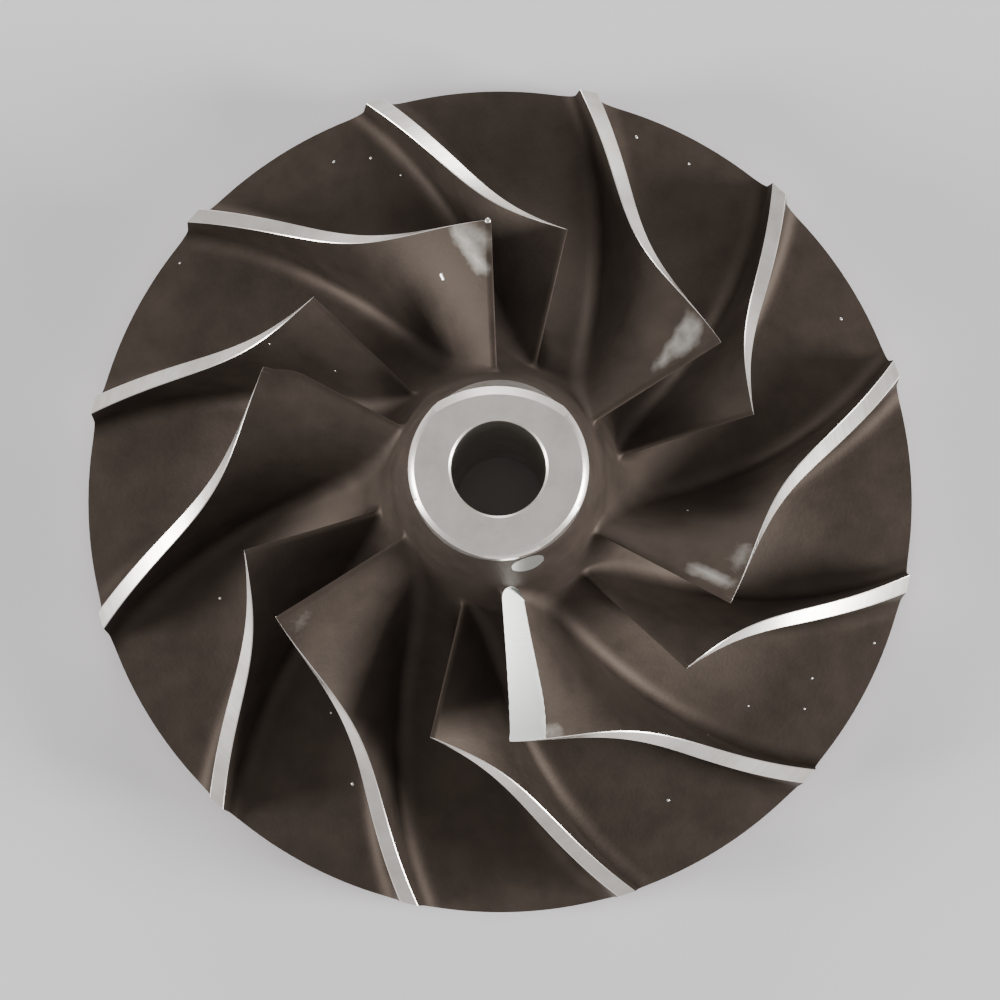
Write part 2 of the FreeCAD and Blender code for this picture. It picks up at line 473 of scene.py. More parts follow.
@dataclass
class Blade:
    """One blade as an open shell that stands on the hub, from its fillet to its turned tip."""

    section: WheelSection
    law: BladeLaw
    kept: float  # share of the full blade's length, counted from the rim
    fillet_rows: int = 6
    side_rows: int = 15
    stations: int = 60
    nose_points: int = 5
    band_columns: int = 3
    burr: float = 0.05
    step: float = 1e-4
    least_lean: float = 0.3

    def __post_init__(self) -> None:
        """Work out the contours once."""
        self.hub = self.section.hub()
        self.shroud = self.section.shroud()

    def ruling(self, shares: np.ndarray) -> tuple[np.ndarray, np.ndarray]:
        """Foot and tip of the middle surface at shares of the full blade's length."""
        law = self.law
        foot_angle = law.first_angle - law.wrap(shares, law.hub_sweep, law.hub_hook_power)
        tip_angle = law.first_angle - law.wrap(shares, law.shroud_sweep, law.shroud_hook_power)
        foot_radius, foot_height = self.hub.at(shares)
        tip_radius, tip_height = self.shroud.at(np.minimum(shares, 1))
        return polar(foot_radius, foot_angle, foot_height), polar(tip_radius, tip_angle, tip_height)

    def middle(self, shares: np.ndarray, rise: np.ndarray) -> np.ndarray:
        """Point of the middle surface, rise being 0 at the hub and 1 at the tip."""
        foot, tip = self.ruling(shares)
        return foot + (tip - foot) * rise[..., None]

    def height(self, shares: np.ndarray) -> np.ndarray:
        """Length of the ruling from hub to tip."""
        foot, tip = self.ruling(shares)
        return np.linalg.norm(tip - foot, axis=-1)

    def levels(self) -> list[Triple]:
        """Rows up the blade: height above the hub, share of what is above the fillet, extra width."""
        fillet = self.law.fillet
        rows = []
        for number in range(self.fillet_rows):
            turn = math.radians(90 * number / self.fillet_rows)
            rows.append((fillet * (1 - math.cos(turn)), 0.0, fillet * (1 - math.sin(turn))))
        rows += [(fillet, number / self.side_rows, 0.0) for number in range(self.side_rows)]
        rows.append((fillet - self.burr, 1.0, 0.0))
        rows.append((fillet, 1.0, -self.burr))
        return rows

    def row(self, level: Triple) -> tuple[np.ndarray, np.ndarray]:
        """Middle points and half angles of one row, from the rim to the leading edge's front.

        Args:
            level: the row's entry from levels().

        Returns:
            Points of the middle surface, and the angle to either side of them in degrees.
        """
        above, share_up, extra = level
        fillet = self.law.fillet

        def rise_at(shares: np.ndarray) -> np.ndarray:
            own = self.height(np.minimum(shares, self.kept))
            tall = own / self.law.fillet_share(shares / self.kept)
            return above / tall + share_up * (1 - fillet / tall)

        def half_width(shares: np.ndarray) -> np.ndarray:
            flare = extra * self.law.fillet_share(shares / self.kept) if extra > 0 else extra
            return self.law.thickness(shares / self.kept, rise_at(shares)) / 2 + flare

        end = np.array([self.kept])
        pace = np.linalg.norm(self.middle(end + self.step, rise_at(end))
                              - self.middle(end - self.step, rise_at(end)), axis=-1) / (2 * self.step)
        front = self.kept + max(extra, 0) * self.law.fillet_share(1.0) / pace[0]
        nose = half_width(end)[0] / pace[0]
        along = np.linspace(0, front - nose, self.stations)
        turn = np.radians(np.linspace(90, 0, self.nose_points + 1))[1:]
        shares = np.concatenate([along, front - nose + nose * np.cos(turn)])
        round_off = np.concatenate([np.ones(self.stations), np.sin(turn)])
        rise = rise_at(shares)
        points = self.middle(shares, rise)
        onward = self.middle(shares + self.step, rise) - self.middle(shares - self.step, rise)
        foot, tip = self.ruling(shares)
        normal = np.cross(onward, tip - foot)
        normal /= np.linalg.norm(normal, axis=-1, keepdims=True)
        radii = np.hypot(points[:, 0], points[:, 1])
        around = np.stack([-points[:, 1], points[:, 0], 0 * radii], axis=-1) / radii[:, None]
        lean = np.abs(np.sum(around * normal, axis=-1))
        half = half_width(shares) * round_off / np.maximum(lean, self.least_lean)
        return points, np.degrees(half / radii)

    def outline(self, points: np.ndarray, half: np.ndarray, turn: float = 0.0) -> np.ndarray:
        """Outline of a row, from one rim corner round the nose to the other.

        Args:
            points: the row's middle points.
            half: angle in degrees to either side of them.
            turn: angle in degrees by which this blade is turned from the pattern.

        Returns:
            Points in millimetres.
        """
        right = turned_about_axis(points, turn - half)
        left = turned_about_axis(points, turn + half)
        return np.concatenate([right, left[-2::-1]])

    def rim_angles(self, turn: float) -> np.ndarray:
        """Angles in degrees of the points where the blade's fillet meets the disc's rim."""
        points, half = self.row(self.levels()[0])
        middle = math.degrees(math.atan2(points[0, 1], points[0, 0])) + turn
        return middle + half[0] * np.linspace(-1, 1, self.band_columns + 1)

    def build(self, name: str) -> bpy.types.Object:
        """Make the blade's shell, open at its foot."""
        draft = MeshDraft()
        across = np.linspace(-1, 1, self.band_columns + 1)
        rows, ends = [], []
        for level in self.levels():
            points, half = self.row(level)
            rows.append(draft.add_points(self.outline(points, half)))
            corner = np.repeat(points[:1], len(across), 0)
            ends.append(draft.add_points(turned_about_axis(corner, half[0] * across)))
        draft.add_grid(rows[:-1], Skin.CAST)
        draft.add_grid(rows[-2:], Skin.TURNED)
        draft.add_grid(ends, Skin.TURNED)
        band = [draft.add_points(turned_about_axis(points, half * place)) for place in across]
        draft.add_grid(band, Skin.TURNED)
        return draft.to_object(name)


# ---- Hub, disc, nose and back ----


@dataclass
class TurnedBody:
    """Hub, disc, neck, nose, bore and back, with gaps in the hub where the blades stand."""

    section: WheelSection
    law: BladeLaw
    full: Blade
    splitter: Blade
    segments: int = 150
    spacing: float = 0.55
    floor_end: float = 1.12  # share of the hub contour at which the neck's rings take over
    clearance: float = 0.28  # between the scattered points and the blades' feet
    edge_break: float = 0.06
    neck_rings: int = 10
    floor_tolerance: float = 1e-7
    back_tolerance: float = 1e-9

    def blades(self) -> list[tuple[Blade, float]]:
        """Each blade's pattern with its turn in degrees, clockwise from the first full blade."""
        pitch = 180 / self.law.full_blades
        patterns = (self.full, self.splitter)
        return [(patterns[number % 2], -pitch * number) for number in range(2 * self.law.full_blades)]

    def plan(self, shares: np.ndarray, degrees: np.ndarray) -> np.ndarray:
        """Places on the hub laid out flat, so that its steep part isn't crowded."""
        hub = self.full.hub
        reach = self.section.nose_radius + hub.length * (self.floor_end - shares)
        return polar(reach, degrees, 0.0)[..., :2]

    def laid_out(self, points: np.ndarray) -> np.ndarray:
        """Flat places of points that lie on the hub."""
        shares = self.full.hub.share_of_radius(np.hypot(points[:, 0], points[:, 1]))
        return self.plan(shares, np.degrees(np.arctan2(points[:, 1], points[:, 0])))

    def on_hub(self, places: np.ndarray) -> np.ndarray:
        """Points of the hub for places of the flat layout."""
        hub = self.full.hub
        reach = np.hypot(places[:, 0], places[:, 1])
        shares = self.floor_end - (reach - self.section.nose_radius) / hub.length
        radii, heights = hub.at(shares)
        return polar(radii, np.degrees(np.arctan2(places[:, 1], places[:, 0])), heights)

    def inner_places(self, outlines: list[np.ndarray]) -> np.ndarray:
        """Even scatter of places over the hub, clear of the blades' feet and of the edges."""
        hub = self.full.hub
        kept = []
        count = int(hub.length * self.floor_end / self.spacing)
        for number in range(1, count):
            share = self.floor_end * number / count
            radius = float(hub.at(np.array([share]))[0][0])
            around = int(2 * math.pi * radius / self.spacing)
            degrees = (np.arange(around) + 0.5 * (number % 2)) * 360 / around
            kept.append(self.plan(np.full(around, share), degrees))
        places = np.concatenate(kept)
        clear = np.ones(len(places), bool)
        for outline in outlines:
            clear &= ~inside_polygon(places, outline)
            for start, end in zip(outline, outline[1:]):
                clear &= gap_to_line(places, start, end) > self.clearance
        return places[clear]

    def build(self, name: str) -> bpy.types.Object:
        """Make the body as one shell that is open only where the blades stand."""
        draft = MeshDraft()
        rim_angles = self.add_floor(draft)
        back_ring = self.add_rim(draft, rim_angles)
        self.add_back(draft, back_ring)
        self.add_turned_end(draft)
        return draft.to_object(name)

    def rim_gaps(self, corners: list[np.ndarray]) -> list[np.ndarray]:
        """Even angles along the rim between each blade's fillet and the next one's.

        Args:
            corners: angles of each blade's fillet at the rim.

        Returns:
            Angles in degrees, gap by gap.
        """
        gaps = []
        for here, after in zip(corners, corners[1:] + corners[:1]):
            gap = (here[0] - after[-1]) % 360
            count = max(int(gap * math.pi / 180 * self.section.exducer_radius / self.spacing), 2)
            gaps.append(after[-1] + gap * np.arange(1, count) / count)
        return gaps

    def add_floor(self, draft: MeshDraft) -> np.ndarray:
        """Add the hub between the blades.

        Args:
            draft: the mesh that gets the faces.

        Returns:
            Angles in degrees of all points round the rim.
        """
        outlines, corners = [], []
        for blade, turn in self.blades():
            outlines.append(self.laid_out(blade.outline(*blade.row(blade.levels()[0]), turn)))
            corners.append(blade.rim_angles(turn))
        gaps = self.rim_gaps(corners)
        parts = outlines + [self.plan(np.zeros(len(gap)), gap) for gap in gaps]
        starts = list(accumulate(map(len, parts), initial=0))
        edges = [(start + step, start + step + 1) for start, outline in zip(starts, outlines)
                 for step in range(len(outline) - 1)] + ring_edges(starts[-1], self.segments)
        neck = np.arange(self.segments) * 360 / self.segments
        parts.append(self.plan(np.full(self.segments, self.floor_end), neck))
        parts.append(self.inner_places(outlines))
        result = delaunay_2d_cdt([Vector(place) for place in np.concatenate(parts)], edges, [],
                                 0, self.floor_tolerance, True)
        flat = np.array([tuple(place) for place in result[0]])
        source = np.array([min(origin) if origin else -1 for origin in result[3]])
        on_neck = (source >= starts[-1]) & (source < starts[-1] + self.segments)
        faces = np.array([face for face in result[2] if len(face) == 3])
        wanted = ~np.all(on_neck[faces], axis=1)
        for outline in outlines:
            wanted &= ~inside_polygon(flat[faces].mean(axis=1), outline)
        numbers = draft.add_points(self.on_hub(flat))
        for face in faces[wanted]:
            draft.add_face((numbers[corner] for corner in face), Skin.CAST)
        return np.sort(np.concatenate(corners + gaps) % 360)

    def add_rim(self, draft: MeshDraft, angles: np.ndarray) -> list[int]:
        """Add the disc's turned edge and return its lower ring."""
        section = self.section
        back = section.boss_height
        upper = draft.add_points(polar(section.exducer_radius, angles, section.disc_height))
        lower = draft.add_points(polar(section.exducer_radius, angles, back + self.edge_break))
        under = draft.add_points(polar(section.exducer_radius - self.edge_break, angles, back))
        draft.add_grid([upper, lower, under], Skin.TURNED, closed=True)
        return under

    def add_back(self, draft: MeshDraft, outer: list[int]) -> None:
        """Add the flat back between the rim's lower ring and the boss."""
        section = self.section
        radius = section.boss_radius + section.boss_chamfer
        ring = polar(radius, np.arange(self.segments) * 360 / self.segments, section.boss_height)
        inner = draft.add_points(ring)
        places = [Vector(draft.corners[number][:2]) for number in outer + inner]
        edges = ring_edges(0, len(outer)) + ring_edges(len(outer), len(inner))
        result = delaunay_2d_cdt(places, edges, [], 0, self.back_tolerance, True)
        for face in result[2]:
            sources = [min(result[3][corner]) for corner in face]
            if any(source < len(outer) for source in sources):
                draft.add_face(((outer + inner)[source] for source in sources), Skin.TURNED)

    def add_turned_end(self, draft: MeshDraft) -> None:
        """Add the boss, the bore, the nose and the neck, in one turned profile."""
        section = self.section
        top = section.nose_height
        mouth = section.bore_radius + section.bore_chamfer
        broken = self.edge_break
        shoulder = section.nose_radius - section.nose_chamfer
        profile = [(section.boss_radius + section.boss_chamfer, section.boss_height),
                   (section.boss_radius, section.boss_height - section.boss_chamfer),
                   (section.boss_radius, broken),
                   (section.boss_radius - broken, 0),
                   (mouth, 0),
                   (section.bore_radius, section.bore_chamfer),
                   (section.bore_radius, top - section.bore_chamfer),
                   (mouth, top),
                   (mouth + broken, top),
                   (shoulder - 2 * broken, top),
                   (shoulder - broken, top),
                   (shoulder, top - broken / 3),
                   (section.nose_radius - broken / 3, top - section.nose_chamfer),
                   (section.nose_radius, top - section.nose_chamfer - broken),
                   (section.nose_radius, top - section.nose_length)]
        skins = [Skin.TURNED] * (len(profile) - 1)
        shares = np.linspace(self.full.hub.shares[-1], self.floor_end, self.neck_rings)
        neck = list(zip(*self.full.hub.at(shares)))[1:]
        lathe(draft, profile + neck, self.segments, skins + [Skin.CAST] * len(neck))


def ring_edges(start: int, count: int) -> list[tuple[int, int]]:
    """Edges of a closed ring of points that are numbered in order from a start."""
    return [(start + step, start + (step + 1) % count) for step in range(count)]


def inside_polygon(points: np.ndarray, polygon: np.ndarray) -> np.ndarray:
    """Whether each point of the plane lies inside a closed polygon."""
    inside = np.zeros(len(points), bool)
    for (x0, y0), (x1, y1) in zip(polygon, np.roll(polygon, -1, axis=0)):
        if y0 == y1:
            continue
        crosses = (points[:, 1] > min(y0, y1)) & (points[:, 1] <= max(y0, y1))
        reach = x0 + (points[:, 1] - y0) * (x1 - x0) / (y1 - y0)
        inside ^= crosses & (points[:, 0] < reach)
    return inside


# ---- The blades set round the hub, as a Geometry Nodes tree ----


@dataclass
class BladeRing:
    """Sets full blades and splitters round the hub and welds them to it."""

    copies: int
    weld: float = 2e-6

    def tree(self, cast: bpy.types.Material, turned: bpy.types.Material) -> bpy.types.NodeTree:
        """Build the node tree.

        Args:
            cast: material of every face that isn't turned.
            turned: material of the faces with the turned mark.

        Returns:
            The tree, with named inputs for the two patterns, their number and the weld distance.
        """
        sheet, given, result = NodeSheet.group(
            "Geometry", "blade_ring",
            {"Body": "Geometry", "Full blade": "Object", "Splitter": "Object", "Copies": "Int",
             "Weld distance": "Float"},
            {"Wheel": "Geometry"})
        join = sheet.add("GeometryNodeJoinGeometry", {0: given["Body"]})
        pitch = sheet.math("DIVIDE", -2 * math.pi, given["Copies"])
        for pattern, lag in (("Full blade", 0.0), ("Splitter", 0.5)):
            number = sheet.math("ADD", sheet.add("GeometryNodeInputIndex"), lag)
            spin = sheet.add("ShaderNodeCombineXYZ", {"Z": sheet.math("MULTIPLY", number, pitch)})
            blades = sheet.add("GeometryNodeInstanceOnPoints", {
                "Points": sheet.add("GeometryNodePoints", {"Count": given["Copies"]}),
                "Instance": sheet.object_mesh(given[pattern]), "Rotation": spin})
            sheet.feed(join, {0: blades})
        whole = sheet.add("GeometryNodeRealizeInstances", {0: join})
        whole = sheet.add("GeometryNodeMergeByDistance", {"Geometry": whole,
                                                          "Distance": given["Weld distance"]})
        whole = sheet.add("GeometryNodeSetMaterial", {"Geometry": whole, "Material": cast})
        whole = sheet.add("GeometryNodeSetMaterial", {
            "Geometry": whole, "Selection": sheet.attribute(TURNED_MARK, "BOOLEAN"),
            "Material": turned})
        sheet.feed(result, {0: whole})
        return sheet.tree

    def weld_on(self, body: bpy.types.Object, full: bpy.types.Object, splitter: bpy.types.Object,
                cast: bpy.types.Material, turned: bpy.types.Material) -> None:
        """Replace the body's mesh by body and blades in one, and remove the patterns.

        Args:
            body: the turned body.
            full: pattern of the full blades.
            splitter: pattern of the splitters.
            cast: material of the cast faces.
            turned: material of the turned faces.
        """
        for thing in (body, full, splitter):
            thing.data.materials.append(cast)
        run_tree(body, self.tree(cast, turned), {"Full blade": full, "Splitter": splitter,
                                                 "Copies": self.copies, "Weld distance": self.weld})
        for pattern in (full, splitter):
            bpy.data.objects.remove(pattern)


# ---- Balancing cuts ----


@dataclass(frozen=True)
class NoseCut:
    """A cut round the nose: angle of its middle, half its spread, its depth and its lip's width."""

    middle: float
    half_spread: float
    depth: float
    lip: float


@dataclass
class Balancing:
    """Everything that balancing took off the wheel."""

    section: WheelSection
    law: BladeLaw
    nose_cuts: tuple[NoseCut, ...] = (NoseCut(88.0, 44.0, 0.50, 0.6),
                                      NoseCut(-43.5, 22.5, 0.13, 0.2),
                                      NoseCut(-129.0, 36.0, 0.13, 0.2))
    wall_slope: float = 5.0
    run_out_slope: float = 28.0
    run_out_length: float = 3.0
    overrun: float = 1.0
    segments: int = 256
    ground_blade: int = 2
    ground_depth: Pair = (0.42, 0.12)
    ground_tilt: Pair = (37.0, 20.0)
    ground_rows: int = 18
    ground_columns: int = 20
    ground_spread: float = 14.0
    ground_lag: float = 1.5
    ground_tip: float = 0.62
    ground_tip_points: int = 24
    ground_tip_radius: float = 8.05
    ground_tip_lag: float = 4.0
    spot_angle: float = -72.0
    spot_height: float = 22.7
    spot_depth: float = 0.1
    spot_length: float = 4.6
    spot_rows: int = 15

    def nose_cutter(self, cut: NoseCut) -> bpy.types.Object:
        """Ring about an axis set off to the far side of the cut."""
        section = self.section
        waist = section.nose_radius - cut.depth
        closing = 2 * (waist - section.nose_radius * math.cos(math.radians(cut.half_spread)))
        away = (section.nose_radius ** 2 - waist ** 2) / closing
        wall = waist + away
        top = section.nose_height
        band_end = top - section.nose_length
        foot = wall + (section.nose_length - cut.lip) * math.tan(math.radians(self.wall_slope))
        end = foot + self.run_out_length * math.tan(math.radians(self.run_out_slope))
        low = band_end - self.run_out_length
        outside = end + section.nose_radius
        profile = [(wall - cut.lip - self.overrun, top + self.overrun), (wall, top - cut.lip),
                   (foot, band_end), (end, low), (outside, low), (outside, top + self.overrun)]
        turn = math.radians(cut.middle)
        draft = MeshDraft()
        lathe(draft, profile, self.segments, [Skin.CAST] * len(profile), closed=True,
              offset=(-away * math.cos(turn), -away * math.sin(turn)))
        return draft.to_object("nose_cutter")

    def grinding_cutter(self) -> bpy.types.Object:
        """Round-ended wedge over one full blade's leading edge.

        Its underside is the flat, which tilts more at the hub than at the tip.
        """
        section = self.section
        edge = self.law.leading_angle(self.ground_blade)
        tip = polar(self.ground_tip_radius, edge + self.ground_tip_lag, 0.0)
        outer = section.inducer_radius + self.overrun
        near = polar(outer, edge - self.ground_spread / 2, 0.0)
        far = polar(outer, edge + self.ground_lag * self.ground_spread, 0.0)
        start = math.degrees(math.atan2(near[1] - tip[1], near[0] - tip[0])) - 90
        finish = math.degrees(math.atan2(far[1] - tip[1], far[0] - tip[0])) + 90
        sweep = np.linspace(start, start + (finish - start) % -360, self.ground_tip_points)
        rounded = tip + polar(self.ground_tip, sweep, 0.0)
        half = self.ground_tip_points // 2
        along = np.linspace(0, 1, self.ground_rows, endpoint=False)[:, None]
        left = np.concatenate([near + (rounded[0] - near) * along, rounded[:half]])
        right = np.concatenate([far + (rounded[-1] - far) * along, rounded[:half - 1:-1]])
        across = np.linspace(0, 1, self.ground_columns)[None, :, None]
        plan = left[:, None] + (right - left)[:, None] * across
        radial, around = polar(1.0, edge, 0.0), polar(1.0, edge + 90, 0.0)
        reach = (section.hub_radius, section.inducer_radius)
        tilt = np.interp(plan @ radial, reach, np.tan(np.radians(self.ground_tilt)))
        depth = np.interp(plan @ radial, reach, self.ground_depth) + plan @ around * tilt
        draft = MeshDraft()
        rings = []
        for heights in (section.inlet_height - depth, 0 * depth + section.inlet_height + self.overrun):
            sheet = plan + np.stack([0 * heights, 0 * heights, heights], axis=-1)
            rows = [draft.add_points(row) for row in sheet]
            draft.add_grid(rows, Skin.CAST)
            rings.append(list(rows[0]) + [row[-1] for row in rows[1:-1]] + list(rows[-1][::-1])
                         + [row[0] for row in rows[-2:0:-1]])
        draft.add_grid(rings, Skin.CAST, closed=True)
        return draft.to_object("grinding_cutter")

    def spot_cutter(self) -> bpy.types.Object:
        """Shallow block along the neck's side, whose inner face bulges a little into the neck."""
        section = self.section
        neck_top = section.nose_height - section.nose_length
        slope = (section.hub_radius - section.nose_radius) / (neck_top - section.inlet_height)
        wide, tall = section.nose_radius / 2, self.spot_length / 2
        draft = MeshDraft()
        rises = np.linspace(-tall, tall, self.spot_rows)
        inner = [(self.spot_depth * (2 * (rise / tall) ** 2 - 1), rise) for rise in rises]
        outline = inner + [(self.overrun, tall), (self.overrun, -tall)]
        rows = [draft.add_points([(x, side, z) for x, z in outline]) for side in (-wide, wide)]
        draft.add_grid(rows, Skin.CAST, closed=True)
        for row in rows:
            draft.add_face(row, Skin.CAST)
        block = draft.to_object("spot_cutter")
        reach = section.nose_radius + (neck_top - self.spot_height) * slope
        block.data.transform(Matrix.Rotation(math.radians(self.spot_angle), 4, "Z")
                             @ Matrix.Translation(Vector((reach, 0, self.spot_height)) * MM)
                             @ Matrix.Rotation(-math.atan(slope), 4, "Y"))
        return block

    def cut(self, wheel: bpy.types.Object, turned: bpy.types.Material,
            ground: bpy.types.Material) -> None:
        """Take the cuts off the wheel and give the fresh faces their own finish.

        Args:
            wheel: the welded wheel.
            turned: material of the faces that the nose cuts leave.
            ground: material of the faces that grinding leaves.
        """
        cutters = {self.nose_cutter(cut): turned for cut in self.nose_cuts}
        cutters[self.grinding_cutter()] = ground
        cutters[self.spot_cutter()] = ground
        for cutter in cutters:
            with opened(cutter.data, save=True) as work:
                bmesh.ops.triangulate(work, faces=work.faces)
            cutter.data.materials.append(wheel.data.materials[0])
            modifier = wheel.modifiers.new(cutter.name, "BOOLEAN")
            modifier.operation, modifier.solver = "DIFFERENCE", "MANIFOLD"
            modifier.object = cutter
        bake_modifiers(wheel)
        for cutter, finish in cutters.items():
            mark_cut_faces(wheel.data, cutter, finish)
            bpy.data.objects.remove(cutter)


def mark_cut_faces(mesh: bpy.types.Mesh, cutter: bpy.types.Object, finish: bpy.types.Material,
                   near: float = 3e-6, opposed: float = -0.97) -> None:
    """Give the faces that a cutter left the finish of a cut.

    Args:
        mesh: the cut mesh.
        cutter: the cutter, in place.
        finish: material of the fresh faces.
        near: how near to the cutter's surface a fresh face lies, in metres.
        opposed: cosine of the least angle at which a fresh face looks against the cutter's.
    """
    search = surface_of(cutter.data)
    if mesh.materials.find(finish.name) < 0:
        mesh.materials.append(finish)
    slot = mesh.materials.find(finish.name)
    count = 0
    for face in mesh.polygons:
        place, normal, _, _ = search.find_nearest(face.center, near)
        if place is not None and normal.dot(face.normal) < opposed:
            face.material_index = slot
            count += 1
    LOG.info("%s left %d faces", cutter.name, count)


# ---- Wear and damage ----


@dataclass(frozen=True)
class Pip:
    """A bright speck, as seen from the nose: radius, angle from +X, half width."""

    radius: float
    angle: float
    size: float = 0.1


@dataclass(frozen=True)
class Rub:
    """A rubbed streak on a full blade, between two places near its outer front corner.

    A place is given by how far it lies behind the leading edge and how far below the tip.
    """

    blade: int
    start: Pair
    end: Pair
    width: float
    strength: float


@dataclass
class Damage:
    """Small damage: a bent blade corner, rubbed corners and bright specks."""

    section: WheelSection
    law: BladeLaw
    blade: Blade
    bent_blade: int = 4
    bent_reach: float = 2.6
    bent_by: float = 2.6
    rub_core: float = 0.2
    rubs: tuple[Rub, ...] = (
        Rub(5, (2.7, 0.4), (0.7, 3.3), 0.75, 1.0), Rub(5, (2.2, 0.3), (0.5, 1.4), 1.0, 0.6),
        Rub(0, (3.1, 0.7), (1.1, 4.3), 0.6, 1.0), Rub(0, (2.0, 0.9), (1.2, 2.4), 0.9, 0.9),
        Rub(1, (1.4, 0.9), (0.8, 3.6), 0.6, 1.0), Rub(1, (3.4, 0.7), (4.9, 0.6), 0.9, 0.5),
        Rub(2, (2.6, 0.4), (4.4, 0.4), 0.6, 0.8), Rub(3, (1.6, 0.5), (0.8, 2.2), 0.7, 0.25))
    pips: tuple[Pip, ...] = (
        Pip(28.39, 69.4, 0.13), Pip(28.21, 60.6), Pip(28.16, 27.8, 0.12), Pip(13.26, -7.7, 0.08),
        Pip(29.13, -21.2), Pip(26.84, -34.8, 0.09), Pip(22.82, -49.0, 0.09), Pip(25.05, -61.0, 0.13),
        Pip(23.48, -40.1, 0.08), Pip(26.13, -30.1), Pip(21.55, -160.1, 0.12), Pip(23.31, -117.1, 0.14),
        Pip(19.83, -127.9, 0.09), Pip(27.56, 116.2), Pip(26.73, 110.7, 0.12), Pip(24.79, 107.0, 0.08),
        Pip(29.11, 143.6, 0.08), Pip(18.95, 148.2, 0.09), Pip(14.07, 144.8, 0.08),
        Pip(17.95, 92.5, 0.2), Pip(15.0, 105.6, 0.17), Pip(14.85, 105.5, 0.17),
        Pip(14.7, 105.4, 0.17), Pip(15.13, 150.1, 0.07))

    def corner(self, number: int) -> Vector:
        """Outer end of a full blade's leading edge, in metres."""
        section = self.section
        return Vector(polar(section.inducer_radius, self.law.leading_angle(number),
                            section.inlet_height)) * MM

    def bend_corner(self, wheel: bpy.types.Object) -> None:
        """Bend the outer corner of one leading edge back round the wheel's axis."""
        corner = self.corner(self.bent_blade)
        reach = self.bent_reach * MM
        for vertex in wheel.data.vertices:
            near = 1 - (vertex.co - corner).length / reach
            if near > 0:
                turn = math.radians(self.bent_by) * near * near * (3 - 2 * near)
                vertex.co.rotate(Matrix.Rotation(turn, 3, "Z"))

    def place_on_blade(self, number: int, place: Pair) -> np.ndarray:
        """Point of a full blade's middle surface, in metres, behind its edge and below its tip."""
        ends = self.blade.middle(np.array([1.0, 1 - self.blade.step]), np.ones(2))
        pace = np.linalg.norm(ends[0] - ends[1]) / self.blade.step
        shares = np.array([1 - place[0] / pace])
        rise = 1 - place[1] / self.blade.height(shares)
        turn = -number * 360 / self.law.full_blades
        return turned_about_axis(self.blade.middle(shares, rise), turn)[0] * MM

    def mark_rubs(self, wheel: bpy.types.Object) -> None:
        """Store how far the cast skin is rubbed off at each point of the wheel."""
        mesh = wheel.data
        places = np.empty(len(mesh.vertices) * 3)
        mesh.vertices.foreach_get("co", places)
        places = places.reshape(-1, 3)
        rubbed = np.zeros(len(places))
        for rub in self.rubs:
            start, end = (self.place_on_blade(rub.blade, place) for place in (rub.start, rub.end))
            away = gap_to_line(places, start, end) / (rub.width * MM)
            fade = np.clip((1 - away) / (1 - self.rub_core), 0, 1)
            rubbed = np.maximum(rubbed, rub.strength * fade)
        mark = mesh.attributes.new(RUB_MARK, "FLOAT", "POINT")
        mark.data.foreach_set("value", rubbed.astype(np.float32))

    def pip_seeds(self, wheel: bpy.types.Object) -> bpy.types.Object:
        """Points on the wheel's surface where the bright specks sit, each with its size and facing."""
        search = surface_of(wheel.data)
        above = 2 * self.section.nose_height
        places, facings, sizes = [], [], []
        for pip in self.pips:
            start = Vector(polar(pip.radius, pip.angle, above)) * MM
            place, facing, _, _ = search.ray_cast(start, Vector((0, 0, -1)))
            if place is not None:
                places.append(place)
                facings.append(facing)
                sizes.append(pip.size * MM)
        mesh = bpy.data.meshes.new("pip_seeds")
        mesh.from_pydata(places, [], [])
        size = mesh.attributes.new("size", "FLOAT", "POINT")
        size.data.foreach_set("value", sizes)
        facing = mesh.attributes.new("facing", "FLOAT_VECTOR", "POINT")
        facing.data.foreach_set("vector", np.array(facings, np.float32).ravel())
        return put_in_scene("pip_seeds", mesh)


@dataclass
class PipScatter:
    """Sets a low dome on each seed point and joins the domes to the wheel."""

    flatness: float = 0.35
    subdivisions: int = 2

    def tree(self, bright: bpy.types.Material) -> bpy.types.NodeTree:
        """Build the node tree.

        Args:
            bright: material of the domes.

        Returns:
            The tree, with named inputs for the seeds and the domes' flatness.
        """
        sheet, given, result = NodeSheet.group(
            "Geometry", "pip_scatter", {"Wheel": "Geometry", "Seeds": "Object", "Flatness": "Float"},
            {"Wheel": "Geometry"})
        size = sheet.attribute("size", "FLOAT")
        aim = sheet.add("FunctionNodeAlignEulerToVector",
                        {"Vector": sheet.attribute("facing", "FLOAT_VECTOR")}, axis="Z")
        height = sheet.math("MULTIPLY", size, given["Flatness"])
        pips = sheet.add("GeometryNodeInstanceOnPoints", {
            "Points": sheet.object_mesh(given["Seeds"]),
            "Instance": sheet.add("GeometryNodeMeshIcoSphere",
                                  {"Radius": 1.0, "Subdivisions": self.subdivisions}),
            "Rotation": aim,
            "Scale": sheet.add("ShaderNodeCombineXYZ", {"X": size, "Y": size, "Z": height})})
        pips = sheet.add("GeometryNodeRealizeInstances", {0: pips})
        pips = sheet.add("GeometryNodeSetMaterial", {"Geometry": pips, "Material": bright})
        join = sheet.add("GeometryNodeJoinGeometry", {0: pips})
        sheet.feed(join, {0: given["Wheel"]})
        sheet.feed(result, {0: join})
        return sheet.tree

    def scatter(self, wheel: bpy.types.Object, seeds: bpy.types.Object,
                bright: bpy.types.Material) -> None:
        """Join a dome at each seed to the wheel and remove the seeds."""
        run_tree(wheel, self.tree(bright), {"Seeds": seeds, "Flatness": self.flatness})
        if wheel.data.materials[-1] is None:
            wheel.data.materials.pop()
        bpy.data.objects.remove(seeds)


# ---- Finishes ----


